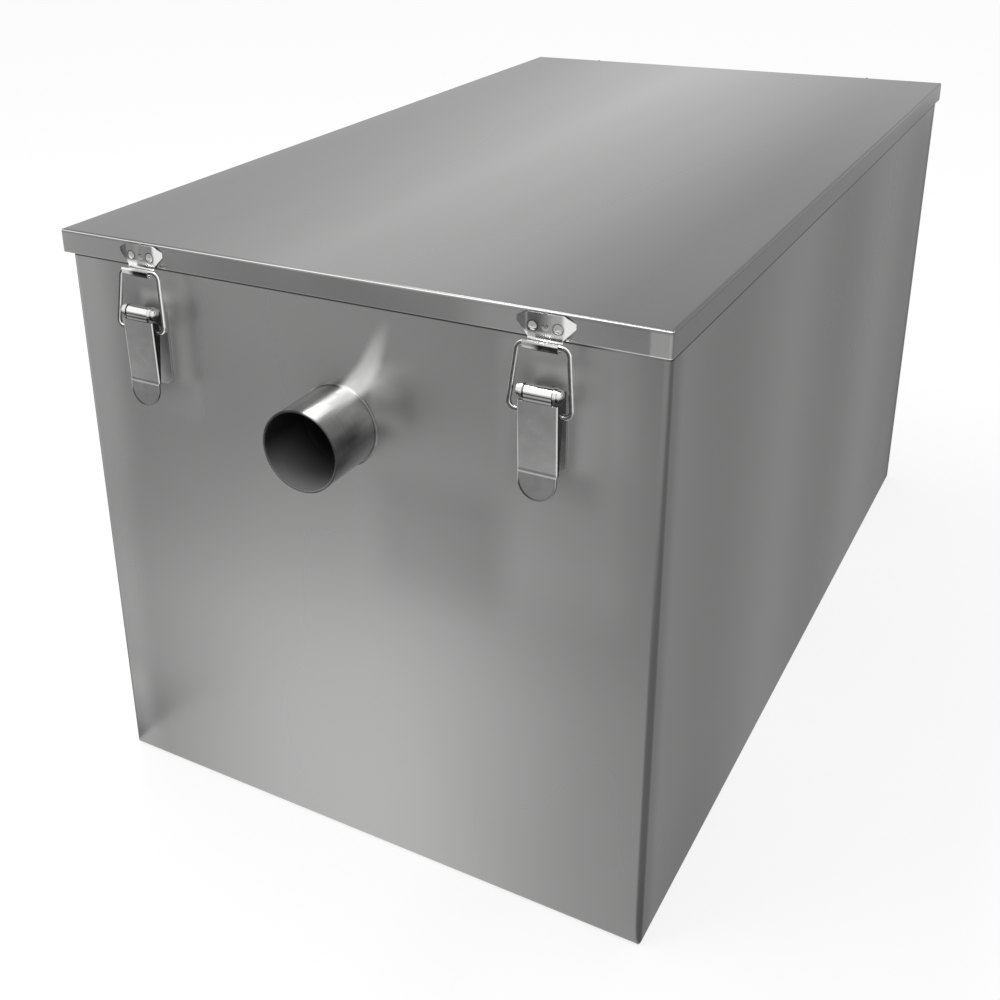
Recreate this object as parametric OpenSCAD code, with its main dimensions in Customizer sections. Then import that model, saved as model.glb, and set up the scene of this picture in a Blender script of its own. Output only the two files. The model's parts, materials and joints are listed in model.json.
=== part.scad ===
// Stainless steel grease trap: a folded tank with pipe stubs, a lift-out strainer basket and
// baffles, and a clamped lid held by four over-centre toggle latches.
// Millimetres, +Z up, the front end faces -Y, origin on the floor under the middle of the tank.

/* [Tank] */
// Width of the tank, across the front end
tank_w = 400; // [340:1:480]
// Length of the tank, front end to rear end
tank_l = 695; // [600:1:820]
// Height of the tank's rim above the floor
tank_h = 396; // [360:1:460]
// Sheet thickness of the tank
tank_sheet = 1.5; // [1:0.1:2]
// Inner bend radius of the four upright edges
tank_bend = 2.5; // [1:0.5:8]
// Inner bend radius round the floor
floor_bend = 1; // [0.5:0.5:6]
// Width of the in-turned rim
rim_w = 18; // [14:1:26]

/* [Lid] */
// Sheet thickness of the lid
lid_sheet = 1.2; // [0.8:0.1:2]
// Depth of the lid's folded skirt
lid_skirt = 15; // [13:0.5:22]
// Gap between skirt and tank along the two sides
lid_side_gap = 0.8; // [0.4:0.1:3]
// Gap between skirt and tank at the two ends
lid_end_gap = 4.3; // [2.5:0.1:7]
// Inner bend radius of the lid's edges
lid_bend = 0.6; // [0.3:0.1:3]
// Width of the sealing strip
gasket_w = 12; // [8:1:14]
// Thickness of the sealing strip, clamped
gasket_t = 4; // [2:0.5:6]

/* [Pipes] */
// Outer radius of the pipe stubs
pipe_r = 25.4; // [20:0.1:30]
// Wall thickness of the pipes
pipe_wall = 1.5; // [1:0.1:3]
// How far each stub stands out of the tank
pipe_reach = 41; // [30:1:70]
// Drop from the tank's rim to the inlet's axis
inlet_drop = 90; // [80:1:110]
// Drop from the tank's rim to the outlet's axis
outlet_drop = 110; // [95:1:130]
// How far the inlet runs on inside the tank
inlet_inner = 14; // [8:1:20]
// How far the outlet stub runs on inside the tank
outlet_inner = 32; // [28:1:40]
// Leg of the weld fillet round a stub
weld_leg = 1.2; // [0.8:0.1:3]
// Bend radius of the dip elbow's centre line
elbow_bend_r = 50; // [40:1:60]
// Gap between the dip elbow's mouth and the floor
dip_gap = 90; // [60:1:120]
// Depth of the elbow's push-on socket
socket_l = 22; // [16:1:25]

/* [Baffles] */
// Thickness of a baffle plate
baffle_t = 2; // [1.5:0.1:3]
// Gap for the flow between a baffle and the floor
baffle_gap = 60; // [40:1:90]
// Drop from the rim to a baffle's top edge
baffle_drop = 46; // [30:1:60]
// Width of the lip folded along a baffle's top
baffle_lip = 14; // [10:1:20]
// Inside length of the inlet chamber
inlet_chamber_l = 215; // [180:1:240]
// Inside length of the outlet chamber
outlet_chamber_l = 175; // [150:1:200]
// Depth of the guide channels, out from the side walls
guide_depth = 12; // [9:1:18]

/* [Basket] */
// Sheet thickness of the basket and its rails
basket_sheet = 1.5; // [1:0.1:2]
// Depth of the basket
basket_h = 110; // [80:1:140]
// Width of the flange that hangs on the rails
basket_flange = 20; // [16:1:26]
// Drop from the inlet's underside to the basket's flange
basket_drop = 8; // [4:1:14]
// Radius of the strainer holes
strainer_r = 5; // [3:0.5:7]
// Pitch of the strainer holes
strainer_pitch = 38; // [30:1:50]
// Width of a lift handle
handle_w = 100; // [80:1:120]
// Height of a lift handle above the flange
handle_h = 34; // [26:1:50]
// Radius of the handle rod
handle_r = 3; // [2:0.5:4]

/* [Latch keeper] */
// Distance of each latch from the tank's side
latch_inset = 65; // [50:1:90]
// Sheet thickness of the keeper
keeper_sheet = 1; // [0.8:0.1:1.5]
// Width of the neck and its hook
neck_w = 20; // [18:0.5:26]
// Reach of each wing past the neck
wing = 6.7; // [5:0.1:10]
// Margin between the wings and the skirt's edge
keeper_margin = 0.6; // [0.2:0.1:1.5]
// Lift of the plate's middle off the lid's skirt
keeper_lift = 1.2; // [0.6:0.1:2]
// Drop from the lid's skirt to the hook's floor
hook_drop = 4.2; // [3.5:0.1:6]
// Height of the hook's lip above the hook's floor
hook_lip = 4.6; // [3:0.1:5]
// Distance of the keeper's rivets from the edge of its neck
rivet_inset = 2.8; // [2.6:0.1:5]
// Radius of a rivet's shank
rivet_r = 1.6; // [1.2:0.1:2]
// Radius of the dimple between the rivets
dimple_r = 2; // [1:0.1:2.5]

/* [Latch bail] */
// Radius of the bail wire
wire_r = 1.4; // [1.2:0.05:1.6]
// Straight run of the bar beside the hook
bar_run = 0.5; // [0.4:0.1:2]
// Straight run of the bail's ends beside the lever
end_run = 2.4; // [1.5:0.1:4]
// Bend radius of the wire's centre line
bail_bend_r = 4; // [3:0.1:5]
// Swell of the wire where it is bent
bend_swell = 0.02; // [0.01:0.005:0.04]

/* [Latch lever] */
// Sheet thickness of the lever
lever_sheet = 1.2; // [0.9:0.1:1.5]
// Length of the lever, from its pin to the crease of its tab
lever_l = 45.2; // [42:0.1:52]
// Length of the finger tab
tab_l = 16.4; // [14:0.1:20]
// Angle by which the finger tab is kicked outward
tab_kick = 7; // [4:1:15]
// Angle by which the shut lever leans towards the tank
lever_lean = 1.5; // [0:0.5:3]
// Distance from the pin to the bail's ends
crank_r = 11.4; // [10.5:0.1:12.5]
// Distance of the pin outside the line of pull when shut
over_centre = 1; // [0.6:0.1:1.4]

/* [Latch base] */
// Width of the base plate over its ears
base_w = 21; // [18:0.5:26]
// Sheet thickness of the base
base_sheet = 1.9; // [1.5:0.1:2.2]
// Length of the base plate below the pin
base_foot = 51; // [46:1:56]
// Drop from the pin to the base plate's top edge
base_drop = 3; // [2:0.5:6]
// Distance of the pin outward from the tank's wall
pin_out = 13.1; // [11.5:0.1:15]
// Drop from the bail's bar to the pin
pin_drop = 25.1; // [23:0.1:28]
// Radius of the pivot pin
pin_r = 2.3; // [2:0.1:2.6]
// Length of each pin head
pin_head_l = 3.1; // [2:0.1:3.4]

/* [Clearances] */
// Radial clearance of a turning pin or wire in its hole
running_gap = 0.06; // [0.03:0.01:0.1]
// Radial clearance of a welded or riveted part in its hole
seat_gap = 0.05; // [0.02:0.01:0.1]
// Radial clearance of the push-on elbow
socket_gap = 0.15; // [0.05:0.05:0.3]
// Clearance of a lift-out piece in the tank
lift_gap = 0.6; // [0.4:0.1:1]
// Clearance between the bail's bar and the hook, over its whole path
hook_gap = 0.4; // [0.35:0.05:0.5]
// Clearance round the pin between the lever and the base
latch_gap = 0.6; // [0.4:0.1:1]
// Side clearance between the lever's cheeks and the base
cheek_gap = 0.3; // [0.3:0.05:0.6]

/* [Hidden] */
$fn = 64;
over = 1;

// Tank and lid
inner_w = tank_w - 2 * tank_sheet;
inner_l = tank_l - 2 * tank_sheet;
tank_edge_r = tank_bend + tank_sheet;
floor_edge_r = floor_bend + tank_sheet;
lid_w = tank_w + 2 * (lid_side_gap + lid_sheet);
lid_over = lid_end_gap + lid_sheet;
lid_l = tank_l + 2 * lid_over;
lid_under = tank_h + gasket_t;
lid_top = lid_under + lid_sheet;
lid_edge_r = lid_bend + lid_sheet;
inlet_h = tank_h - inlet_drop;
outlet_h = tank_h - outlet_drop;

// Baffles, measured from the end walls
baffle_top = tank_h - baffle_drop;
inlet_baffle_y = -inner_l / 2 + inlet_chamber_l + baffle_t / 2;
outlet_baffle_y = inner_l / 2 - outlet_chamber_l - baffle_t / 2;
guide_w = baffle_t + 2 * lift_gap + 2 * tank_sheet;

// Basket, hung on two rails below the inlet
flange_top = inlet_h - pipe_r - basket_drop;
rail_top = flange_top - basket_sheet;
basket_flange_w = inner_w - 2 * (basket_sheet + lift_gap);
basket_w = basket_flange_w - 2 * basket_flange;
basket_front_gap = inlet_inner + basket_flange / 2;
basket_l = inlet_chamber_l - guide_w - basket_front_gap - 2 * lift_gap - basket_flange;
basket_y = -inner_l / 2 + basket_front_gap + basket_l / 2;
rail_w = basket_flange - 2 * lift_gap;
rail_l = basket_l + basket_flange;
handle_x = basket_w / 2 + basket_flange / 2;

// Latch, as distance outward from the tank's end wall and height above the floor
latch_x = tank_w / 2 - latch_inset;
keeper_top = lid_top - lid_sheet;
keeper_back = lid_over + keeper_lift;
keeper_face = keeper_back + keeper_sheet;
keeper_w = neck_w + 2 * wing;
keeper_h = lid_skirt - lid_sheet - keeper_margin;
rivet_x = neck_w / 2 - rivet_inset;
rivet_z = keeper_top - 0.56 * keeper_h;
bar_u = keeper_face + wire_r + latch_gap;
hook_floor = lid_top - lid_skirt - hook_drop;
bar_z = hook_floor + wire_r + hook_gap;
pin_z = bar_z - pin_drop;
pull_l = norm([pin_out - bar_u, pin_drop]);
bail_lean = atan((pin_out - bar_u) / pin_drop) - asin(over_centre / pull_l);
function leg(long, short) = sqrt(long * long - short * short);
bail_l = leg(pull_l, over_centre) + leg(crank_r, over_centre);
end_u = bar_u + bail_l * sin(bail_lean);
end_z = bar_z - bail_l * cos(bail_lean);
knuckle_in = pin_r + running_gap;
knuckle_r = knuckle_in + lever_sheet;
ear_in = base_w / 2 - base_sheet;
ear_r = knuckle_r + latch_gap;
knuckle_half = ear_in - latch_gap;
shoulder = ear_r + latch_gap;
lever_w = base_w + 2 * (cheek_gap + lever_sheet);
lever_bend_r = 1.25 * lever_sheet;
bail_top_half = neck_w / 2 + bar_run + bail_bend_r;
bail_foot_half = lever_w / 2 + end_run + bail_bend_r;

// The bail's bar swings out of the hook as the lever opens: the bail turns back against the lever by
// bail_ratio, the bar passes the lip at lip_angle, and hook_in leaves room for its swing up to there
bail_ratio = 0.78;
lip_angle = 46;
crank_angle = asin((pin_out - end_u) / crank_r);
function bar_out(open) =
    crank_r * (sin(open - crank_angle) + sin(crank_angle))
    - bail_l * (sin(bail_lean + (1 - bail_ratio) * open) - sin(bail_lean));
hook_in = bar_u - keeper_face + bar_out(lip_angle) + wire_r + hook_gap;
hook_bend_r = 0.4 * hook_in;

// Bail ends seen from the lever before it leans
crank_u = (end_u - pin_out) * cos(lever_lean) - (end_z - pin_z) * sin(lever_lean);
crank_v = (end_u - pin_out) * sin(lever_lean) + (end_z - pin_z) * cos(lever_lean);
cheek_back = wire_r + running_gap + lever_sheet - crank_u;

// Square of side a and b about the origin with round corners
module round_rect(a, b, r) {
    square([a - 2 * r, b], center = true);
    square([a, b - 2 * r], center = true);
    for (sx = [-1, 1])
        for (sy = [-1, 1])
            translate([sx * (a / 2 - r), sy * (b / 2 - r)])
                circle(r);
}

// Upright section of width a and height h, standing on y = 0, with its two upper corners round
module arch_rect(a, h, r) {
    translate([-a / 2, 0])
        square([a, h - r]);
    translate([-a / 2 + r, 0])
        square([a - 2 * r, h]);
    for (sx = [-1, 1])
        translate([sx * (a / 2 - r), h - r])
            circle(r);
}

// Folded pan, open below: round upright edges and a bend of radius edge_r round its closed face
module pan(w, l, h, upright_r, edge_r) {
    intersection() {
        linear_extrude(h)
            round_rect(w, l, upright_r);
        rotate([90, 0, 0])
            linear_extrude(l + 2 * over, center = true)
                arch_rect(w, h, edge_r);
        rotate([90, 0, 90])
            linear_extrude(w + 2 * over, center = true)
                arch_rect(l, h, edge_r);
    }
}

// Draws a profile given as (outward, up) and extrudes it across the latch
module across(w) {
    rotate([90, 0, -90])
        linear_extrude(w, center = true)
            children();
}

// Draws an outline given as (across, up) and extrudes it outward from the distance u
module outward(u, t) {
    translate([0, -u, 0])
        rotate([90, 0, 0])
            linear_extrude(t)
                children();
}

// Puts a latch piece on one end wall: side is -1 or 1 across, turn is 0 in front and 180 behind
module on_wall(side, turn) {
    translate([side * latch_x, 0, 0])
        rotate([0, 0, turn])
            translate([0, -tank_l / 2, 0])
                children();
}

module on_every_latch() {
    for (side = [-1, 1])
        for (turn = [0, 180])
            on_wall(side, turn)
                children();
}

module tank() {
    color("silver")
        difference() {
            translate([0, 0, tank_h])
                mirror([0, 0, 1])
                    pan(tank_w, tank_l, tank_h, tank_edge_r, floor_edge_r);
            translate([0, 0, tank_h - tank_sheet])
                mirror([0, 0, 1])
                    pan(inner_w, inner_l, tank_h - 2 * tank_sheet, tank_bend, floor_bend);
            translate([0, 0, tank_h - tank_sheet - over])
                linear_extrude(tank_sheet + 2 * over)
                    round_rect(tank_w - 2 * rim_w, tank_l - 2 * rim_w, tank_edge_r);
            for (stub = [[0, inlet_h], [180, outlet_h]])
                rotate([0, 0, stub[0]])
                    translate([0, -tank_l / 2 + tank_sheet + over, stub[1]])
                        rotate([90, 0, 0])
                            cylinder(r = pipe_r + seat_gap, h = tank_sheet + 2 * over);
        }
}

module lid() {
    color("gainsboro")
        difference() {
            translate([0, 0, lid_top - lid_skirt])
                pan(lid_w, lid_l, lid_skirt, lid_edge_r, lid_edge_r);
            translate([0, 0, lid_top - lid_skirt - over])
                linear_extrude(lid_skirt - lid_sheet + over)
                    round_rect(lid_w - 2 * lid_sheet, lid_l - 2 * lid_sheet, lid_bend);
            on_every_latch()
                for (sx = [-1, 1])
                    translate([sx * rivet_x, 0, rivet_z])
                        rotate([90, 0, 0])
                            cylinder(r = rivet_r + seat_gap, h = lid_over + over);
        }
}

module lid_gasket() {
    strip_w = tank_w - (rim_w - gasket_w);
    strip_l = tank_l - (rim_w - gasket_w);
    color("dimgray")
        translate([0, 0, tank_h])
            linear_extrude(gasket_t)
                difference() {
                    round_rect(strip_w, strip_l, tank_edge_r);
                    round_rect(strip_w - 2 * gasket_w, strip_l - 2 * gasket_w, tank_edge_r);
                }
}

// Stub through an end wall: the tube and the weld fillet that stands on the wall
module pipe_stub(run_in) {
    rotate([90, 0, 0])
        rotate_extrude() {
            translate([pipe_r - pipe_wall, -tank_sheet - run_in])
                square([pipe_wall, tank_sheet + run_in + pipe_reach]);
            difference() {
                translate([pipe_r - pipe_wall / 2, 0])
                    square([weld_leg + pipe_wall / 2, weld_leg]);
                translate([pipe_r + weld_leg, weld_leg])
                    circle(weld_leg);
            }
        }
}

module inlet_pipe() {
    color("silver")
        translate([0, -tank_l / 2, inlet_h])
            pipe_stub(inlet_inner);
}

module outlet_pipe() {
    color("silver")
        translate([0, tank_l / 2, outlet_h])
            rotate([0, 0, 180])
                pipe_stub(outlet_inner);
}

// Tube section with the elbow's own bore
module tube_ring(r) {
    difference() {
        circle(r);
        circle(r - pipe_wall);
    }
}

// Dip elbow pushed on the outlet stub: socket, quarter bend and leg down into the clear water
module outlet_elbow() {
    mouth_y = tank_l / 2 - tank_sheet - outlet_inner;
    socket_r = pipe_r + socket_gap + pipe_wall;
    leg_top = outlet_h - elbow_bend_r;
    color("silver")
        translate([0, mouth_y, outlet_h]) {
            rotate([-90, 0, 0])
                linear_extrude(socket_l)
                    tube_ring(socket_r);
            rotate([90, 0, 0])
                linear_extrude(pipe_wall)
                    difference() {
                        circle(socket_r);
                        circle(pipe_r - pipe_wall);
                    }
            translate([0, -pipe_wall, -elbow_bend_r])
                rotate([0, -90, 0])
                    rotate_extrude(angle = -90)
                        translate([elbow_bend_r, 0])
                            tube_ring(pipe_r);
            translate([0, -pipe_wall - elbow_bend_r, -elbow_bend_r - leg_top + dip_gap])
                linear_extrude(leg_top - dip_gap)
                    tube_ring(pipe_r);
        }
}

// Plate across the tank with a lip folded along its top, drawn as a section and run across
module baffle_plate(lip_side) {
    plate_w = inner_w - 2 * (tank_sheet + lift_gap);
    lip_w = inner_w - 2 * (guide_depth + lift_gap);
    translate([0, -baffle_t / 2, baffle_gap])
        translate([-plate_w / 2, 0, 0])
            cube([plate_w, baffle_t, baffle_top - baffle_gap - baffle_t]);
    translate([-lip_w / 2, lip_side < 0 ? baffle_t / 2 - baffle_lip : -baffle_t / 2, baffle_top - baffle_t])
        cube([lip_w, baffle_lip, baffle_t]);
}

module inlet_baffle() {
    color("silver")
        translate([0, inlet_baffle_y, 0])
            baffle_plate(1);
}

module outlet_baffle() {
    color("silver")
        translate([0, outlet_baffle_y, 0])
            baffle_plate(-1);
}

// Channels welded to the side walls, closed at their foot so that the baffles stand in them
module baffle_guides() {
    guide_top = baffle_top - baffle_t - 2 * guide_depth;
    guide_h = guide_top - baffle_gap + tank_sheet;
    slot_w = baffle_t + 2 * lift_gap;
    color("darkgray")
        for (turn = [0, 180])
            for (y = [inlet_baffle_y, outlet_baffle_y])
                translate([0, y, baffle_gap - tank_sheet])
                    rotate([0, 0, turn])
                        difference() {
                            translate([inner_w / 2 - guide_depth, -guide_w / 2, 0])
                                cube([guide_depth, guide_w, guide_h]);
                            translate([inner_w / 2 - guide_depth - over, -slot_w / 2, tank_sheet])
                                cube([guide_depth - tank_sheet + over, slot_w, guide_h]);
                        }
}

// Places of a centred row of strainer holes that fits a length
function strainer_row(length) =
    let (n = floor((length - 4 * strainer_r) / strainer_pitch))
    [for (i = [0 : n]) (i - n / 2) * strainer_pitch];

module basket() {
    basket_mid = flange_top - basket_h / 2;
    color("lightgray")
        translate([0, basket_y, 0])
            difference() {
                union() {
                    translate([0, 0, flange_top - basket_h])
                        linear_extrude(basket_h)
                            round_rect(basket_w, basket_l, tank_edge_r);
                    translate([0, 0, rail_top])
                        linear_extrude(basket_sheet)
                            round_rect(basket_flange_w, basket_l + basket_flange, tank_edge_r);
                }
                translate([0, 0, flange_top - basket_h + basket_sheet])
                    linear_extrude(basket_h)
                        round_rect(basket_w - 2 * basket_sheet, basket_l - 2 * basket_sheet,
                            tank_edge_r - basket_sheet);
                for (x = strainer_row(basket_w))
                    for (y = strainer_row(basket_l))
                        translate([x, y, flange_top - basket_h - over])
                            cylinder(r = strainer_r, h = basket_sheet + 2 * over);
                for (x = strainer_row(basket_w))
                    for (z = strainer_row(basket_h))
                        translate([x, 0, basket_mid + z])
                            rotate([90, 0, 0])
                                cylinder(r = strainer_r, h = basket_l + 2 * over, center = true);
                for (y = strainer_row(basket_l))
                    for (z = strainer_row(basket_h))
                        translate([0, y, basket_mid + z])
                            rotate([0, 90, 0])
                                cylinder(r = strainer_r, h = basket_w + 2 * over, center = true);
            }
}

// Two rods bent to a bow and welded by their feet to the basket's flange
module basket_handles() {
    bow_r = 4 * handle_r;
    leg_h = handle_h - handle_r - bow_r;
    reach = handle_w / 2 - handle_r - bow_r;
    color("silver")
        for (sx = [-1, 1])
            translate([sx * handle_x, basket_y, flange_top]) {
                for (turn = [0, 180])
                    rotate([0, 0, turn]) {
                        translate([0, reach + bow_r, 0])
                            cylinder(r = handle_r, h = leg_h);
                        translate([0, reach, leg_h])
                            rotate([90, 0, 90])
                                rotate_extrude(angle = 90)
                                    translate([bow_r, 0])
                                        circle(handle_r);
                    }
                translate([0, 0, leg_h + bow_r])
                    rotate([90, 0, 0])
                        cylinder(r = handle_r, h = 2 * reach, center = true);
            }
}

// Angles welded along the side walls, under the basket's flange
module basket_rails() {
    color("darkgray")
        for (turn = [0, 180])
            translate([0, basket_y, rail_top])
                rotate([0, 0, turn])
                    translate([inner_w / 2, -rail_l / 2, 0]) {
                        translate([-rail_w, 0, -basket_sheet])
                            cube([rail_w, rail_l, basket_sheet]);
                        translate([-basket_sheet, 0, -rail_w])
                            cube([basket_sheet, rail_l, rail_w]);
                    }
}

// Domed rivets through the keepers and the lid's skirt
module keeper_rivets() {
    head_r = 1.7 * rivet_r;
    head_h = 0.65 * rivet_r;
    dome_r = (head_r * head_r + head_h * head_h) / (2 * head_h);
    tail_h = 0.5 * rivet_r;
    grip = keeper_face - lid_end_gap;
    color("white")
        on_every_latch()
            for (sx = [-1, 1])
                translate([sx * rivet_x, -lid_end_gap, rivet_z])
                    rotate([90, 0, 0])
                        rotate_extrude() {
                            square([rivet_r, grip]);
                            translate([0, -tail_h])
                                square([head_r * 0.9, tail_h]);
                            intersection() {
                                translate([0, grip + head_h - dome_r])
                                    circle(dome_r);
                                translate([0, grip])
                                    square([head_r, head_h]);
                            }
                        }
}

// Outline of the keeper's plate: a hexagon with blunt wing tips, a locating nub and the neck
module keeper_outline() {
    shoulder_half = neck_w / 2;
    tip_half = keeper_w / 2;
    neck_low = hook_floor + (hook_bend_r + hook_lip) / 2;
    polygon([
        [-shoulder_half, keeper_top],
        [shoulder_half, keeper_top],
        [tip_half, keeper_top - 0.26 * keeper_h],
        [tip_half, keeper_top - 0.47 * keeper_h],
        [shoulder_half, keeper_top - keeper_h],
        [shoulder_half, neck_low],
        [-shoulder_half, neck_low],
        [-shoulder_half, keeper_top - keeper_h],
        [-tip_half, keeper_top - 0.47 * keeper_h],
        [-tip_half, keeper_top - 0.26 * keeper_h]
    ]);
    translate([0, keeper_top])
        circle(1.2 * keeper_sheet);
}

// Plan section of the keeper's plate: its middle stands off the skirt and its wings come down to it
module keeper_plan() {
    flat = neck_w / 2;
    tip = keeper_w / 2;
    polygon([
        [-tip, -lid_over], [-flat, -keeper_back], [flat, -keeper_back], [tip, -lid_over],
        [tip, -lid_over - keeper_sheet], [flat, -keeper_face], [-flat, -keeper_face],
        [-tip, -lid_over - keeper_sheet]
    ]);
}

// Upright trough of inner width a and depth h with round lower corners, its mouth at y = h
module trough(a, h, r) {
    intersection() {
        translate([0, h])
            mirror([0, 1])
                arch_rect(a, h, r);
        translate([-a / 2, 0])
            square([a, h]);
    }
}

// Section of the hook as (outward, up): down from the plate, out under the bar and up to the lip
module hook_section() {
    translate([keeper_face + hook_in / 2, hook_floor])
        difference() {
            translate([0, -keeper_sheet])
                trough(hook_in + 2 * keeper_sheet, hook_lip + keeper_sheet, hook_bend_r + keeper_sheet);
            trough(hook_in, hook_lip + over, hook_bend_r);
        }
}

module keeper() {
    color("gainsboro")
        difference() {
            union() {
                intersection() {
                    outward(0, keeper_face + over)
                        keeper_outline();
                    linear_extrude(lid_top + keeper_h)
                        keeper_plan();
                }
                across(neck_w)
                    hook_section();
            }
            for (sx = [-1, 1])
                translate([sx * rivet_x, -lid_over, rivet_z])
                    rotate([90, 0, 0])
                        cylinder(r = rivet_r + seat_gap, h = keeper_face);
            translate([0, -keeper_face, rivet_z])
                rotate([-90, 0, 0])
                    cylinder(r1 = dimple_r, r2 = dimple_r / 2, h = 0.6 * keeper_sheet);
        }
}

// Base: a plate on the tank's wall with clipped lower corners, and two ears folded out to the pin
module latch_base() {
    clip = 0.2 * base_w;
    low = pin_z - base_foot;
    head = pin_z - base_drop;
    half = base_w / 2;
    color("lightgray")
        difference() {
            union() {
                outward(0, base_sheet)
                    polygon([
                        [-half, low + clip], [-half + clip, low], [half - clip, low], [half, low + clip],
                        [half, head], [-half, head]
                    ]);
                for (sx = [-1, 1])
                    translate([sx * (half - base_sheet / 2), 0, 0])
                        across(base_sheet) {
                            translate([pin_out, pin_z])
                                circle(ear_r);
                            polygon([
                                [0, head - 3.5 * ear_r], [pin_out, pin_z - ear_r],
                                [pin_out, pin_z + ear_r], [0, head]
                            ]);
                        }
            }
            translate([0, -pin_out, pin_z])
                rotate([0, 90, 0])
                    cylinder(r = pin_r + seat_gap, h = base_w + 2 * over, center = true);
        }
}

// Pivot pin riveted over outside the ears, with domed heads
module latch_pin() {
    head_r = 1.43 * pin_r;
    nose = 0.4 * pin_head_l;
    dome_r = (head_r * head_r + nose * nose) / (2 * nose);
    color("white")
        translate([0, -pin_out, pin_z])
            rotate([0, 90, 0])
                for (turn = [0, 180])
                    rotate([turn, 0, 0])
                        rotate_extrude() {
                            square([pin_r, base_w / 2 + over]);
                            translate([0, base_w / 2])
                                square([head_r, pin_head_l - nose]);
                            intersection() {
                                translate([0, base_w / 2 + pin_head_l - dome_r])
                                    circle(dome_r);
                                translate([0, base_w / 2])
                                    square([head_r, pin_head_l]);
                            }
                        }
}

// Plan section of the lever: a channel with rounded bends, open towards the tank
module lever_channel() {
    half = lever_w / 2;
    depth = knuckle_r + cheek_back;
    difference() {
        translate([0, cheek_back])
            mirror([0, 1])
                arch_rect(lever_w, depth, lever_bend_r);
        translate([-half + lever_sheet, -knuckle_r + lever_sheet])
            square([lever_w - 2 * lever_sheet, depth]);
    }
}

// Side view of the lever's channel: cheeks deep at the bail's ends, tapering to the crease
module lever_side() {
    tail_depth = knuckle_r - lever_sheet;
    polygon([
        [knuckle_r, -shoulder], [knuckle_r - 2 * lever_sheet, -shoulder],
        [-cheek_back, crank_v + 2 * wire_r + lever_sheet], [-cheek_back, crank_v - wire_r],
        [tail_depth, -lever_l], [knuckle_r, -lever_l]
    ]);
}

// Finger tab: a round-ended plate kicked outward from the crease
module lever_tab() {
    half = lever_w / 2 - lever_bend_r / 2;
    translate([0, -knuckle_r + lever_sheet, -lever_l])
        rotate([-tab_kick, 0, 0])
            outward(0, lever_sheet) {
                translate([-half, half - tab_l])
                    square([2 * half, tab_l - half]);
                translate([0, half - tab_l])
                    circle(half);
            }
}

// Lever stamped from one sheet: channel, finger tab and a tongue rolled into an eye round the pin
module lever() {
    slit = 0.5 * lever_sheet;
    color("gainsboro")
        translate([0, -pin_out, pin_z])
            rotate([lever_lean, 0, 0])
                difference() {
                    union() {
                        intersection() {
                            translate([0, 0, -lever_l])
                                linear_extrude(lever_l - shoulder)
                                    lever_channel();
                            across(lever_w + 2 * over)
                                lever_side();
                        }
                        translate([-knuckle_half, -knuckle_r, -shoulder - over])
                            cube([2 * knuckle_half, lever_sheet, shoulder + over]);
                        rotate([0, 90, 0])
                            cylinder(r = knuckle_r, h = 2 * knuckle_half, center = true);
                        lever_tab();
                    }
                    rotate([0, 90, 0])
                        cylinder(r = knuckle_in, h = 2 * knuckle_half + 2 * over, center = true);
                    translate([-knuckle_half - over, -knuckle_r + lever_sheet, -knuckle_r - over])
                        cube([2 * knuckle_half + 2 * over, slit, knuckle_r + over]);
                    translate([0, -crank_u, crank_v])
                        rotate([0, 90, 0])
                            cylinder(r = wire_r + running_gap, h = lever_w + 2 * over, center = true);
                }
}

// Quarter bend of the wire about its centre, from one angle through a turn
module wire_bend(from, turn) {
    rotate(from)
        rotate_extrude(angle = turn)
            translate([bail_bend_r, 0])
                circle(wire_r + bend_swell);
}

// Bail wire drawn flat as (across, up) from its ends: the bar, then on each side a bend, a flared
// arm, a bend and an end that turns in the lever's cheek. Straight runs enter the swollen bends by wire_in.
module bail_wire() {
    wire_in = 0.2 * wire_r;
    flare = atan((bail_foot_half - bail_top_half) / bail_l);
    top_x = bail_top_half - bail_bend_r * tan((90 - flare) / 2);
    foot_x = bail_foot_half - bail_bend_r * tan((90 + flare) / 2);
    arm_dir = [cos(flare), sin(flare)];
    arm_top = [top_x, bail_l - bail_bend_r] + bail_bend_r * arm_dir;
    arm_foot = [foot_x, bail_bend_r] + bail_bend_r * arm_dir;
    end_x = lever_w / 2 - lever_sheet - wire_r / 2;
    translate([0, bail_l, 0])
        rotate([0, 90, 0])
            cylinder(r = wire_r, h = 2 * (top_x + wire_in), center = true);
    for (flip = [0, 1])
        mirror([flip, 0, 0]) {
            translate([top_x, bail_l - bail_bend_r, 0])
                wire_bend(flare, 90 - flare);
            translate([arm_top[0], arm_top[1], 0])
                rotate([90, 0, flare])
                    translate([0, 0, -wire_in])
                        cylinder(r = wire_r, h = norm(arm_foot - arm_top) + 2 * wire_in);
            translate([foot_x, bail_bend_r, 0])
                wire_bend(-90, 90 + flare);
            translate([end_x, 0, 0])
                rotate([0, 90, 0])
                    cylinder(r = wire_r, h = foot_x - end_x + wire_in);
        }
}

module bail() {
    color("white")
        translate([0, -end_u, end_z])
            rotate([90 - bail_lean, 0, 0])
                bail_wire();
}

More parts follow.
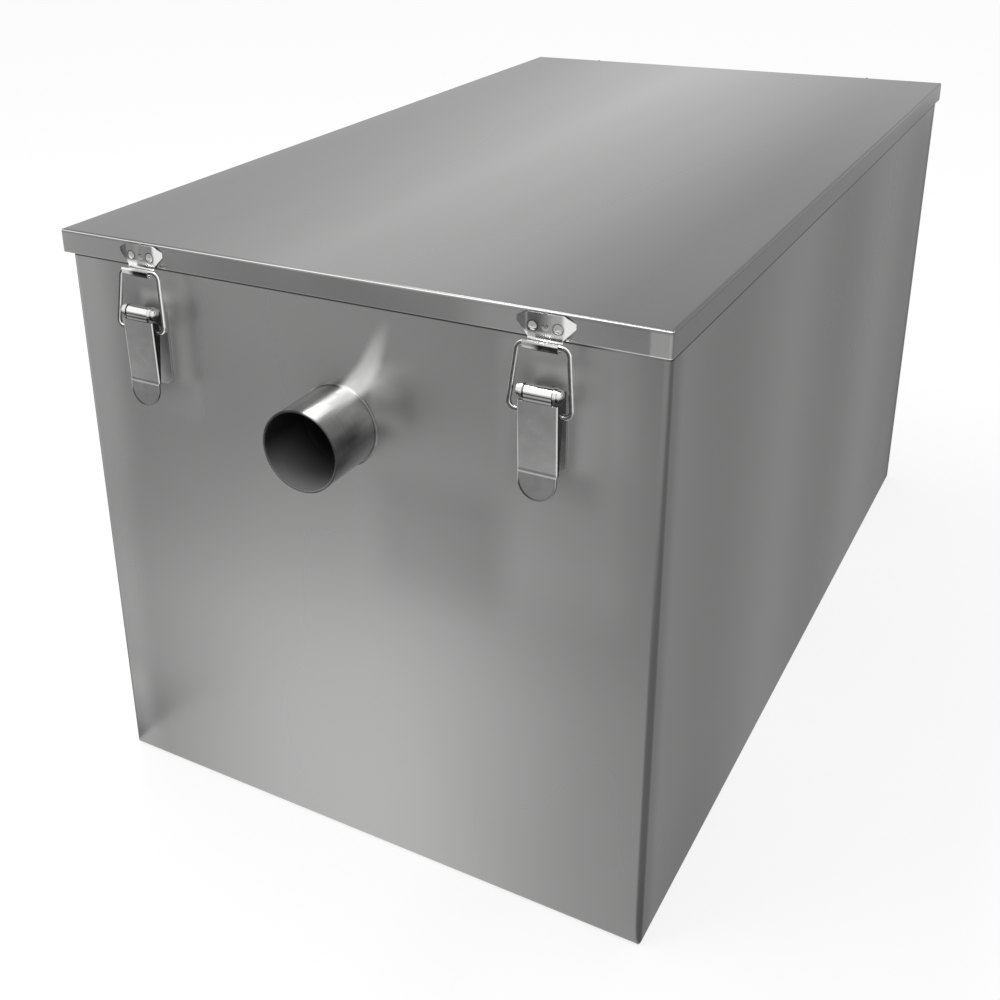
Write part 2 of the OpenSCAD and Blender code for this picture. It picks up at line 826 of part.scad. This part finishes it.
tank();
lid();
lid_gasket();
inlet_pipe();
outlet_pipe();
outlet_elbow();
inlet_baffle();
outlet_baffle();
baffle_guides();
basket();
basket_handles();
basket_rails();
keeper_rivets();
on_wall(-1, 0) keeper();  // front_left_keeper
on_wall(-1, 0) latch_base();  // front_left_base
on_wall(-1, 0) latch_pin();  // front_left_pin
on_wall(-1, 0) lever();  // front_left_lever
on_wall(-1, 0) bail();  // front_left_bail
on_wall(1, 0) keeper();  // front_right_keeper
on_wall(1, 0) latch_base();  // front_right_base
on_wall(1, 0) latch_pin();  // front_right_pin
on_wall(1, 0) lever();  // front_right_lever
on_wall(1, 0) bail();  // front_right_bail
on_wall(-1, 180) keeper();  // rear_left_keeper
on_wall(-1, 180) latch_base();  // rear_left_base
on_wall(-1, 180) latch_pin();  // rear_left_pin
on_wall(-1, 180) lever();  // rear_left_lever
on_wall(-1, 180) bail();  // rear_left_bail
on_wall(1, 180) keeper();  // rear_right_keeper
on_wall(1, 180) latch_base();  // rear_right_base
on_wall(1, 180) latch_pin();  // rear_right_pin
on_wall(1, 180) lever();  // rear_right_lever
on_wall(1, 180) bail();  // rear_right_bail
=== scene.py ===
import json

import bmesh
import bpy
from mathutils import Matrix, Vector


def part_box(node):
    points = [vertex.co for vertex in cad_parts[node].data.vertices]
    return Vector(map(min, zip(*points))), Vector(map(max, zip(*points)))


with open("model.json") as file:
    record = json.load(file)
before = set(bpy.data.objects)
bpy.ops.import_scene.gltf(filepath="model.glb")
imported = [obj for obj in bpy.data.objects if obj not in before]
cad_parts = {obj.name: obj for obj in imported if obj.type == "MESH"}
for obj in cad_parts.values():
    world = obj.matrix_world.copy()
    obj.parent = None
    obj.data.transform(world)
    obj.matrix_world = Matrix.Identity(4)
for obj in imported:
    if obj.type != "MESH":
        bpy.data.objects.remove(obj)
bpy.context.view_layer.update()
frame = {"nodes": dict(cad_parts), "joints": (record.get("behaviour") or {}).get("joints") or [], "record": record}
nodes = frame["nodes"]


# Tank: one sheet of stainless steel folded into a box with round upright edges, and a welded-in floor.
# The sheet is brushed level round the box, so that reflections smear up and down its walls.
# Its tone varies in soft random clouds. Painted reflections lie over it as bands and glows, and a
# painted plume adds to the bright inlet's own reflection in the wall.
class Wire:
    """One output of a shader node. Arithmetic on it adds Math nodes to the same material."""

    def __init__(self, tree, output=None):
        self.tree = tree
        self.output = output

    def node(self, kind, settings=None, inputs=None, output=0):
        """Any other node: its type, its settings, then the values or wires of its sockets."""
        made = self.tree.nodes.new("ShaderNode" + kind)
        for name, value in (settings or {}).items():
            setattr(made, name, value)
        for name, value in (inputs or {}).items():
            if isinstance(value, Wire):
                self.tree.links.new(value.output, made.inputs[name])
            else:
                made.inputs[name].default_value = value
        return Wire(self.tree, made.outputs[output] if made.outputs else None)

    def math(self, operation, first, second=0.0):
        return self.node("Math", {"operation": operation}, {0: first, 1: second})

    def __add__(self, other):
        return self.math("ADD", self, other)

    def __radd__(self, other):
        return self.math("ADD", other, self)

    def __sub__(self, other):
        return self.math("SUBTRACT", self, other)

    def __rsub__(self, other):
        return self.math("SUBTRACT", other, self)

    def __mul__(self, other):
        return self.math("MULTIPLY", self, other)

    def __rmul__(self, other):
        return self.math("MULTIPLY", other, self)

    def __abs__(self):
        return self.math("ABSOLUTE", self)

    def sign(self):
        return self.math("SIGN", self)

    def rise(self, low, high):
        """0 below low, 1 above high, smooth between."""
        return self.node("MapRange", {"interpolation_type": "SMOOTHSTEP"},
                         {"Value": self, "From Min": low, "From Max": high})

    def between(self, off, on):
        """One value where this is 0, and another where it is 1."""
        return off + self * (on - off)

    def axes(self):
        split = self.node("SeparateXYZ", inputs={0: self}).output.node
        return [Wire(self.tree, split.outputs[i]) for i in range(3)]

    def facing(self):
        """How far the surface faces along each of its object's axes."""
        return self.node("TexCoord", output="Normal").axes()

    def noise(self, scale, detail=0.0):
        """Soft noise at this place, with its own scale along each axis."""
        stretched = self.node("VectorMath", {"operation": "MULTIPLY"}, {0: self, 1: scale})
        return self.node("TexNoise", inputs={"Vector": stretched, "Scale": 1.0, "Detail": detail})

    def blended(self, dark, light):
        """A colour between two, by this value."""
        return self.node("Mix", {"data_type": "RGBA"}, {0: self, 6: (*dark, 1), 7: (*light, 1)}, output=2)

    def leaned(self, direction, normal=None):
        """The surface's normal, or a given one, leaned along a direction by this value."""
        lean = self.node("VectorMath", {"operation": "SCALE"}, {0: direction, "Scale": self})
        normal = normal or self.node("NewGeometry", output="Normal")
        summed = self.node("VectorMath", {"operation": "ADD"}, {0: normal, 1: lean})
        return self.node("VectorMath", {"operation": "NORMALIZE"}, {0: summed})


BLACK_STEEL = (0.02, 0.02, 0.02)
PALE_STEEL = (1.0, 1.0, 0.995)


def new_finish(name):
    """An empty material, and the object coordinates that its pattern lies on."""
    material = bpy.data.materials.new(name)
    material.use_nodes = True
    material.node_tree.nodes.clear()
    return material, Wire(material.node_tree).node("TexCoord", output="Object")


def metal(place, tone, roughness, normal=None, smear=0.0, solid=1.0):
    """Bare steel from black to pale by its tone. Smear is how far brushing draws out its reflections,
    and where solid is less than 1 the metal is dulled."""
    colour = tone.blended(BLACK_STEEL, PALE_STEEL)
    inputs = {"Base Color": colour, "Roughness": roughness, "Metallic": solid, "Anisotropic": smear}
    if normal:
        inputs["Normal"] = normal
    surface = place.node("BsdfPrincipled", inputs=inputs)
    place.node("OutputMaterial", inputs={"Surface": surface})


def grained(place, grain, strength, depth):
    """The normal of a surface with a fine grain this deep."""
    return place.node("Bump", inputs={"Height": grain, "Strength": strength, "Distance": depth})


def dress(finish, *names):
    for name in names:
        nodes[name].data.materials[0] = finish


def strip_of(axis, start, full, end, clear):
    """1 between full and end, falling softly to 0 at start and at clear."""
    return axis.rise(start, full) * (1 - axis.rise(end, clear))


half_width, half_length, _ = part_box("tank")[1]
skirt_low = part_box("lid")[0].z
mounts = {mount["name"]: mount for mount in frame["record"]["mounts"]}
inlet_up = mounts["inlet_spigot"]["pos_m"][2]
hinges = {joint["name"]: joint["pos_m"] for joint in frame["joints"]}
latch_x, _, pin_up = hinges["front_right_lever_hinge"]


def from_latch(x):
    """How far a place lies to the right of the latch on its own half of the trap."""
    return x - latch_x * x.sign()


brushing_strength = 0.001
brushing_depth = 0.0004

tank_finish, place = new_finish("tank_brushed_steel")
x, y, z = place.axes()
clouds = place.noise((5, 5, 2.5), 2.0)
hairs = place.noise((25, 25, 2200), 2.0)
on_side = abs(x).rise(half_width - 0.0035, half_width - 0.0005)
on_bend = on_side * abs(y).rise(half_length - 0.005, half_length - 0.002)
in_front = 1 - y.rise(0.0005 - half_length, 0.0025 - half_length)

# Painted shade: a thin dark line on the walls just under the lid's skirt, fading at the front right.
above_skirt = z - skirt_low
front_shade_line = above_skirt.rise(-0.0036, -0.003) * (1 - 0.8 * x.rise(0.155, 0.175))
side_shade_line = above_skirt.rise(-0.0038, -0.0032)
painted_skirt_shade = on_side.between(front_shade_line, side_shade_line)

# Painted reflection: a bright plume of the inlet's streak up the front wall, where the metal is dulled.
plume_root = inlet_up + 0.024
above_root = z - plume_root
plume_x = 0.009 + 0.42 * above_root + 0.006 * above_root.rise(-0.004, 0.02)
plume_width = 1 - (abs(x - plume_x) + 0.13 * above_root).rise(0.005, 0.012)
painted_plume = plume_width * strip_of(above_root, -0.014, -0.004, 0.014, 0.052) * in_front
# Painted light on the front wall to the right of and above the inlet, lifting the stub's dark reflection.
painted_light_by_inlet = (strip_of(x, 0.016, 0.026, 0.032, 0.05)
                * strip_of(z - inlet_up, 0.0, 0.012, 0.024, 0.04) * in_front)

along = from_latch(x)
above_pin = z - pin_up
round_latch = (strip_of(abs(x) - latch_x, -0.035, -0.021, 0.021, 0.037)
               * strip_of(above_pin, -0.0787, -0.0587, 0.0113, 0.0293) * (1 - on_side))
# Painted light on the end walls beside each lever and behind its pin's eye, lifting the latch's dark reflection.
painted_light_by_latch = (strip_of(along, 0.0, 0.01, 0.015, 0.034)
                * strip_of(above_pin, -0.0547, -0.0407, 0.0033, 0.0173) * in_front)
painted_light_behind_eye = (strip_of(along, -0.014, -0.003, 0.008, 0.018)
              * strip_of(above_pin, -0.0087, -0.0017, 0.0033, 0.0133) * in_front)

# Painted reflections on the end walls: bright middle and left edge, dark belt, dim patch and glows.
middle = 1 - abs(x + 0.015).rise(0.02, 0.23)
left_edge = abs(x).rise(0.165, 0.19) * (1 - x.rise(-0.1, 0.1))
level_belt = strip_of(z, 0.14, 0.23, 0.27, 0.37)
dim_patch = strip_of(x, 0.01, 0.04, 0.09, 0.12) * strip_of(z, 0.18, 0.235, 0.265, 0.3)
right_glow = strip_of(x, 0.1, 0.125, 0.17, 0.195) * (0.45 * z.rise(0.2, 0.25) + 0.55 * z.rise(0.3, 0.34))
left_glow = (1 - x.rise(-0.182, -0.155)) * z.rise(0.18, 0.29)
low_glow = (1 - x.rise(-0.19, -0.172)) * strip_of(z, 0.01, 0.025, 0.05, 0.085)
end_ground = (0.24 + 0.21 * middle + 0.06 * left_edge) * (0.95 - 0.09 * level_belt)
end_glow = 0.06 * left_glow + 0.07 * right_glow + 0.1 * low_glow - 0.055 * dim_patch
end_tone = end_ground + end_glow + 0.16 * painted_light_by_latch + 0.3 * painted_light_behind_eye

# Painted reflections on the side walls: upright bands, darker near the bends, low front and low rear.
wave_rate = 22.85
wave_start = 4.03
waves = y.math("SINE", wave_rate * y + wave_start)
near_bends = abs(y).rise(half_length - 0.0225, half_length - 0.0055)
low_front = (1 - z.rise(0.0, 0.1)) * (1 - y.rise(-0.3, -0.1))
low_rear = (1 - z.rise(0.02, 0.3)) * y.rise(0.29, 0.34)
side_tone = 0.42 + 0.05 * waves - 0.13 * near_bends - 0.06 * low_front - 0.09 * low_rear

# Painted shade on the round upright bends.
wall_tone = on_side.between(end_tone, side_tone) - 0.1 * on_bend
painted_sheen_and_clouds = wall_tone + 0.08 * (clouds - 0.5) + 0.006 * (hairs - 0.5)
tank_tone = (painted_sheen_and_clouds + 0.5 * painted_plume + 0.35 * painted_light_by_inlet) * (1 - 0.85 * painted_skirt_shade)
tank_rough = 0.28 + 0.1 * (clouds - 0.5) + 0.25 * round_latch
metal(place, tank_tone, tank_rough, grained(place, hairs, brushing_strength, brushing_depth),
      smear=0.7, solid=1 - 0.6 * painted_plume - 0.4 * painted_light_behind_eye)
dress(tank_finish, "tank")


# Lid: a shallow pan folded from thinner sheet, its skirt slipped over the tank's rim and its corners
# welded and ground. It is brushed across, with soft random bands along its length. Painted reflections
# and painted highlights brighten its top, its skirt and the fold along its top edge.
lid_half_width, lid_half_length, lid_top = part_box("lid")[1]
lid_finish, place = new_finish("lid_brushed_steel")
x, y, z = place.axes()
clouds = place.noise((4, 1.5, 4), 2.0)
bands = place.noise((14, 0.4, 14), 1.0)
hairs = place.noise((25, 2200, 2200), 2.0)
below_top = z - lid_top
past_end = abs(y) - lid_half_length
on_top = below_top.rise(-0.0027, -0.0007)
on_end = past_end.rise(-0.0015, -0.0005)

# Painted reflection on the top: brighter down the middle, darker to the right and at the far right edge.
middle = 1 - abs(x + 0.01 + 0.06 * y).rise(0.0, 0.17)
far_edge = y.rise(-0.3, 0.0) * x.rise(0.12, 0.19)
top_tone = 0.138 - 0.113 * x + (0.158 + 0.055 * y) * middle - 0.05 * far_edge

# Painted reflections on the skirt: brighter at the right corner and by the right keeper, darker before the corner.
at_corner = x.rise(lid_half_width - 0.0125, lid_half_width - 0.0105) * on_end
before_corner = x.rise(lid_half_width - 0.052, lid_half_width - 0.016) * on_end
by_keeper = strip_of(x - latch_x, -0.06, -0.03, -0.015, 0.0) * on_end
# Painted highlight along the skirt's lower edge; painted shade towards the rear of the side skirts.
low_edge_highlight = (1 - (z - skirt_low).rise(0.0002, 0.0008)) * (0.1 + 0.4 * x.rise(0.155, 0.175) * on_end)
rear_side_shade = abs(x).rise(lid_half_width - 0.002, lid_half_width - 0.0008) * y.rise(0.12, 0.33)
end_shine = 0.14 * at_corner - 0.07 * before_corner + 0.09 * by_keeper
skirt_tone = 0.33 + end_shine + low_edge_highlight - 0.22 * rear_side_shade

# Painted highlight along the fold at the top edge of the ends.
fold_highlight = strip_of(below_top, -0.0011, -0.0008, -0.0007, -0.0004) * past_end.rise(-0.0025, -0.0015)
painted_sheen_and_clouds = on_top.between(skirt_tone, top_tone) + 0.06 * (clouds - 0.5) + 0.1 * (bands - 0.5)
lid_tone = painted_sheen_and_clouds + 0.01 * (hairs - 0.5) + 0.7 * fold_highlight
lid_rough = 0.28 + 0.1 * (clouds - 0.5)
metal(place, lid_tone, lid_rough, grained(place, hairs, brushing_strength, brushing_depth))
dress(lid_finish, "lid")


# Lid gasket: an endless strip of black rubber, glued under the lid, that the latches press on the rim.
# Its skin is matt, with a fine moulded grain.
BLACK_RUBBER = (0.012, 0.012, 0.012)
GREY_RUBBER = (0.06, 0.06, 0.06)
gasket_finish, place = new_finish("gasket_black_rubber")
grain = place.noise((900, 900, 900), 2.0)
dust = place.noise((30, 30, 30), 3.0).rise(0.5, 0.8)
rubber = place.node("BsdfPrincipled", inputs={
    "Base Color": (0.5 * grain + 0.3 * dust).blended(BLACK_RUBBER, GREY_RUBBER),
    "Roughness": 0.6 + 0.2 * grain,
    "Normal": grained(place, grain, 0.3, 0.0003),
})
place.node("OutputMaterial", inputs={"Surface": rubber})
dress(gasket_finish, "lid_gasket")


# Inlet and outlet stubs: thin-walled stainless tube, welded through the end walls, and the dip elbow
# pushed on the outlet stub inside. The tube is polished round, with uneven stripes along it. One bright
# streak along its upper side is partly the lamp's highlight and partly a painted highlight. Its bore is
# dull, with painted shade.
tube_r = mounts["inlet_spigot"]["dims"]["r_mm"] / 1000
outlet_up = mounts["outlet_spigot"]["pos_m"][2]
stub_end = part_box("outlet_pipe")[1].y
streak_angle = 1.22
pipe_finish, place = new_finish("pipe_polished_steel")
x, y, z = place.axes()
rings = place.noise((40, 9000, 40), 1.0)
smears = place.noise((45, 25, 45), 2.0)
stripes = place.noise((110, 6, 110), 1.0)
above_axis = z - (inlet_up + outlet_up) / 2 + (inlet_up - outlet_up) / 2 * y.sign()
outside = (x * x + above_axis * above_axis).rise((tube_r - 0.0011) ** 2, (tube_r - 0.0005) ** 2)
around = above_axis.math("ARCTAN2", above_axis, x)
# Painted highlight: the streak along the upper side, roughened and a little dulled there.
painted_top_streak = 1 - (abs(around - streak_angle) + 0.25 * (stripes - 0.5)).rise(0.1, 0.36)
at_weld = 1 - (abs(y) - half_length).rise(0.001, 0.002)
at_rim = (abs(y) - stub_end).rise(-0.0005, -0.0001)

outer_tone = 0.22 + 0.85 * painted_top_streak + 0.5 * (smears - 0.5) + 0.4 * (stripes - 0.5) - 0.04 * at_weld
# Painted shade in the bore, near black, with painted light low down near the mouth.
low_in_bore = (1 - above_axis.rise(-0.024, 0.004)) * abs(y).rise(half_length - 0.0125, stub_end - 0.0035)
bore_tone = 0.02 + 0.5 * low_in_bore
pipe_tone = outside.between(bore_tone, outer_tone) * (1 - 0.4 * at_rim) + 0.015 * (rings - 0.5)
pipe_rough = 0.22 + 0.16 * (smears - 0.5) + 0.2 * at_weld + 0.18 * painted_top_streak
ring_lean = 0.6 * outside * (rings - 0.5 - 0.58 * painted_top_streak)
metal(place, pipe_tone, pipe_rough, ring_lean.leaned((0, 1, 0)),
      solid=outside.between(0.35, 1 - 0.1 * painted_top_streak))
dress(pipe_finish, "inlet_pipe", "outlet_pipe", "outlet_elbow")


# Baffles, their guide channels, the strainer basket with its handles and rails: mill-finish sheet and
# rod, cut and folded, all inside the tank. They are duller than the outside, with faint water marks.
inner_finish, place = new_finish("inner_mill_steel")
marks = place.noise((14, 14, 5), 3.0)
mill = place.noise((400, 400, 400), 2.0)
inner_tone = 0.42 + 0.2 * (marks - 0.5) + 0.08 * (mill - 0.5)
inner_rough = 0.42 + 0.2 * (marks - 0.5)
metal(place, inner_tone, inner_rough, grained(place, mill, 0.1, 0.0002))
dress(inner_finish, "inlet_baffle", "outlet_baffle", "baffle_guides")
dress(inner_finish, "basket", "basket_handles", "basket_rails")


# Latch keepers: stamped plates with a folded wing at each side and a rolled hook below, each held to the
# lid's skirt by two domed rivets. Bright stainless, with painted light and shade over its plate, neck, lip and
# rivets.
def edge_rounded(place, radius):
    """The normal with the sharp stamped edges eased, so that they catch the light."""
    return place.node("Bevel", {"samples": 6}, {"Radius": radius})


def ring_of(across, up, *radii):
    """A soft ring round a point, by the radii where it starts, is full, ends and is clear."""
    return strip_of(across * across + up * up, *(radius ** 2 for radius in radii))


plate_out = lid_half_length + 0.0022
rivet_aside = 0.0072
rivet_lift = 0.0064
stamped_edge = 0.00025
keeper_bow = 22.0
keeper_finish, place = new_finish("keeper_bright_steel")
rub = place.noise((300, 300, 300), 2.0)
fold_shade = place.node("AmbientOcclusion", {"samples": 8}, {"Distance": 0.004}, output="AO")
x, y, z = place.axes()
facing_x, _, facing_z = place.facing()
along = from_latch(x)
above_skirt = z - skirt_low
past_plate = abs(y) - plate_out
on_neck = 1 - above_skirt.rise(0.0012, 0.0046)
left_wing = 1 - along.rise(-0.0118, -0.0105)
# Painted light on the plate's right half and wing; painted shade on the left wing and in the folds.
painted_light_right = 0.25 * along.rise(-0.006, 0.004) + 0.55 * along.rise(0.0085, 0.0115)
plate_tone = (0.2 + painted_light_right - 0.09 * left_wing) * (0.4 + 0.6 * fold_shade)

# Painted highlight on the lower half of each rivet's dome, painted shade in a ring round its head.
above_rivet = above_skirt - rivet_lift
on_rivet = past_plate.rise(0.0001, 0.0003) * above_skirt.rise(0.0018, 0.0023)
round_rivet = ring_of(abs(along) - rivet_aside, above_rivet, 0.0026, 0.0028, 0.003, 0.0037)
rivet_tone = 0.95 - 0.6 * above_rivet.rise(-0.0012, 0.001)
upper_tone = plate_tone * (1 - 0.6 * round_rivet) + on_rivet * (rivet_tone - plate_tone)

# Painted highlight on the neck where the hook curls out; painted shade on the lip's front, most to the right.
on_lip = past_plate.rise(0.0033, 0.0043) * (1 - above_skirt.rise(-0.0011, -0.0005))
lip_front = on_lip * (1 - facing_z.rise(0.2, 0.6)) * (1 - abs(facing_x).rise(0.5, 0.8))
lip_shade = lip_front * (0.4 + 0.59 * along.rise(-0.006, 0.0))
keeper_tone = on_neck.between(upper_tone, 0.95) * (1 - lip_shade) + 0.1 * (rub - 0.5)
metal(place, keeper_tone, 0.14 + 0.14 * rub,
      (keeper_bow * along).leaned((1, 0, 0), edge_rounded(place, stamped_edge)))
latches = ("front_left", "front_right", "rear_left", "rear_right")
dress(keeper_finish, "keeper_rivets", *(latch + "_keeper" for latch in latches))


# Latch bases and pins: a folded plate with two ears, spot-welded to the end wall, and the polished pin
# through them with its peened heads. Ears and pin carry a painted highlight above the pin's middle and
# painted shade below it.
base_finish, place = new_finish("latch_base_steel")
rub = place.noise((200, 200, 200), 2.0)
_, y, z = place.axes()
on_ear = (abs(y) - half_length).rise(0.0025, 0.004)
# Painted highlight on ears and pin above the pin's middle, painted shade below it.
ear_tone = 0.04 + 0.75 * (z - pin_up).rise(-0.0009, 0.0003)
base_tone = on_ear.between(0.5, ear_tone) + 0.1 * (rub - 0.5)
base_rough = 0.4 + 0.16 * (rub - 0.5) - 0.2 * on_ear
metal(place, base_tone, base_rough, edge_rounded(place, stamped_edge))
dress(base_finish, *(latch + piece for latch in latches for piece in ("_base", "_pin")))


# Levers: stamped channels whose tongue is rolled round the pin, with a rounded finger tab kicked out
# below a crease. The panel is satin, a little darker towards the pin and on the tab, with painted
# highlights on its edges, its upward faces, under the crease and on the rolled tongue, and painted shade
# over the crease, on the tab's rim and on the cheeks.
lever_edge = 0.0003
tab_middle = -0.0504
ripple_rate = 2900
lever_finish, place = new_finish("lever_satin_steel")
rub = place.noise((150, 150, 150), 3.0)
x, _, z = place.axes()
facing_x, _, facing_z = place.facing()
along = from_latch(x)
above_pin = z - pin_up
on_cheek = abs(facing_x).rise(0.7, 0.9)
# Painted highlights on the panel's edges, its upward faces and under the crease; painted shade over the crease.
panel_edge = abs(along).rise(0.0107, 0.0113) * (1 - abs(facing_x).rise(0.6, 0.85))
over_crease = strip_of(above_pin, -0.0455, -0.0451, -0.0445, -0.0439)
under_crease = strip_of(above_pin, -0.0469, -0.0465, -0.0459, -0.0455)
on_tab = 1 - above_pin.rise(-0.0469, -0.0462)
# Painted shade on the tab's rim, most on its left.
tab_round = ring_of(along, above_pin - tab_middle, 0.0096, 0.0101, 0.0108, 0.0111)
tab_rim = tab_round * (1 - above_pin.rise(-0.054, -0.049))
rim_shade = tab_rim * (0.05 + 0.17 * (1 - along.rise(-0.006, 0.004)))
satin_tone = 0.35 - 0.05 * above_pin.rise(-0.042, -0.008) + 0.1 * (rub - 0.5)
painted_edge_light = 0.6 * panel_edge + 0.6 * facing_z.rise(0.6, 0.9)
crease_tone = 0.3 * under_crease - 0.15 * over_crease
panel_tone = satin_tone + painted_edge_light + crease_tone - 0.06 * on_tab - rim_shade

# Painted highlight on the upper half of the rolled tongue, which has fine ripples below; painted shade on the
# cheeks.
on_tongue = above_pin.rise(-0.0049, -0.0047)
ripples = above_pin.math("SINE", ripple_rate * above_pin)
tongue_tone = above_pin.rise(-0.0005, 0.0001).between(0.3 + 0.25 * ripples, 0.95)
lever_tone = on_tongue.between(panel_tone, tongue_tone) * (1 - 0.93 * on_cheek)
lever_rough = 0.26 + 0.1 * (rub - 0.5) - 0.14 * on_tongue
metal(place, lever_tone, lever_rough, edge_rounded(place, lever_edge))
dress(lever_finish, *(latch + "_lever" for latch in latches))


# Bails: each bent from one length of hard drawn wire, its feet sprung into the cheeks of the lever.
# Drawing leaves the wire nearly a mirror; a painted reflection darkens it where it faces straight out from the
# wall.
bail_finish, place = new_finish("bail_drawn_wire")
rub = place.noise((400, 400, 400), 1.0)
_, facing_y, _ = place.facing()
# Painted reflection: dark where the wire faces straight out from the wall.
bail_tone = 0.95 - 0.85 * abs(facing_y).rise(0.7, 0.9) + 0.1 * (rub - 0.5)
metal(place, bail_tone, 0.1 + 0.1 * rub)
dress(bail_finish, *(latch + "_bail" for latch in latches))


# Floor: a plain white sweep. To the camera and in reflections it shows the white of the background,
# and it keeps a soft shadow under the tank.
def flat_sheet(name, half, up):
    """A square sheet that lies level at a height, round the middle of the set."""
    square = bmesh.new()
    lifted = Matrix.Translation((0, 0, up))
    bmesh.ops.create_grid(square, x_segments=1, y_segments=1, size=half, matrix=lifted)
    mesh = bpy.data.meshes.new(name)
    square.to_mesh(mesh)
    square.free()
    sheet = bpy.data.objects.new(name, mesh)
    bpy.context.scene.collection.objects.link(sheet)
    return sheet


def shown(wire):
    """1 to the camera, in mirrors and through glass, and 0 for the light that falls on the set."""
    seen = wire.node("LightPath", output="Is Camera Ray")
    mirrored = wire.node("LightPath", output="Is Glossy Ray")
    passed = wire.node("LightPath", output="Is Transmission Ray")
    return (seen + mirrored + passed).rise(0, 1)


floor_half = 12.0
floor_gap = 0.0004
floor_grey = (0.35, 0.35, 0.35, 1)
floor_white = (0.76, 0.76, 0.76, 1)
floor = flat_sheet("floor", floor_half, -floor_gap)
floor_finish, place = new_finish("white_sweep")
paint = place.node("BsdfDiffuse", inputs={"Color": floor_grey})
glow = place.node("Emission", inputs={"Color": floor_white, "Strength": shown(place)})
both = place.node("AddShader", inputs={0: paint, 1: glow})
place.node("OutputMaterial", inputs={"Surface": both})
floor.data.materials.append(floor_finish)


# Backdrop: the white studio round the set. It is plain white to the camera and in reflections,
# and somewhat dimmer as the light that falls on the set.
world = bpy.data.worlds.new("white_studio")
bpy.context.scene.world = world
world.use_nodes = True
world.node_tree.nodes.clear()
sky = Wire(world.node_tree)
brightness = shown(sky).between(0.6, 1.0)
backdrop = sky.node("Background", inputs={"Color": (1, 1, 1, 1), "Strength": brightness})
sky.node("OutputWorld", inputs={"Surface": backdrop})


# Board: a grey card with soft edges, laid on the sweep round the set and out of the picture, so that the
# steel has something darker than the white sweep to mirror.
board_half = 3.0
board_up = 0.001
board_white = (1, 1, 1)
board_grey = (0.39, 0.39, 0.39)
grey_board = flat_sheet("grey_board", board_half, board_up)
board_finish, place = new_finish("grey_board")
x, y, _ = place.axes()
slanted = (x - 0.985 * y).rise(0.14, 0.24) * (1 - 0.65 * x.rise(-0.45, 0.05))
front_card = slanted * strip_of(y, -2.6, -2.1, -0.95, -0.36)
right_card = strip_of(x, 0.199, 0.2, 2.1, 2.6) * strip_of(y, -0.95, -0.55, 2.1, 2.6)
rear_card = strip_of(x, -0.45, -0.1, 0.5, 1.2) * strip_of(y, 0.36, 0.95, 2.1, 2.6)
left_card = strip_of(x, -2.6, -2.1, -0.2, -0.199) * strip_of(y, -0.45, -0.33, 0.55, 0.95)
cover = front_card
for card in (right_card, rear_card, left_card):
    cover = cover.math("MAXIMUM", cover, card)
flat = place.node("Emission", inputs={"Color": cover.blended(board_white, board_grey)})
place.node("OutputMaterial", inputs={"Surface": flat})
grey_board.data.materials.append(board_finish)
grey_board.visible_camera = False
grey_board.visible_diffuse = False
grey_board.visible_shadow = False


# Lamp: one long soft box overhead, as for a plain catalogue picture. It gives the lid its soft sheen
# and the latches and the stub their highlights.
lamp_at = Vector((-0.5, -0.35, 1.9))
lamp_aim = Vector((-0.1, -0.3, 0.3))
lamp = bpy.data.lights.new("overhead_strip", "AREA")
lamp.shape = "RECTANGLE"
lamp.size = 1.6
lamp.size_y = 0.16
lamp.energy = 10
soft_box = bpy.data.objects.new("overhead_strip", lamp)
bpy.context.scene.collection.objects.link(soft_box)
soft_box.location = lamp_at
soft_box.rotation_euler = (lamp_aim - lamp_at).to_track_quat("-Z", "Y").to_euler()
soft_box.visible_camera = False


# Camera: at the photograph's viewing angle, which comes from the corners of the box in it,
# with the off-centre crop that its framing needs.
eye = Vector((0.39306, -0.91474, 0.62807))
camera_right = Vector((0.86209, 0.50611, -0.02579))
camera_up = Vector((-0.17451, 0.34427, 0.92251))
camera_back = Vector((0.47577, -0.79078, 0.38511))
lens = bpy.data.cameras.new("camera")
lens.sensor_width = 36
lens.lens = 46.525
lens.shift_x = 0.0865
lens.shift_y = -0.132
lens.clip_start = 0.01
camera = bpy.data.objects.new("camera", lens)
bpy.context.scene.collection.objects.link(camera)
camera_turn = Matrix((camera_right, camera_up, camera_back)).transposed()
camera.matrix_world = Matrix.Translation(eye) @ camera_turn.to_4x4()
bpy.context.scene.camera = camera
bpy.context.scene.view_settings.view_transform = "Standard"
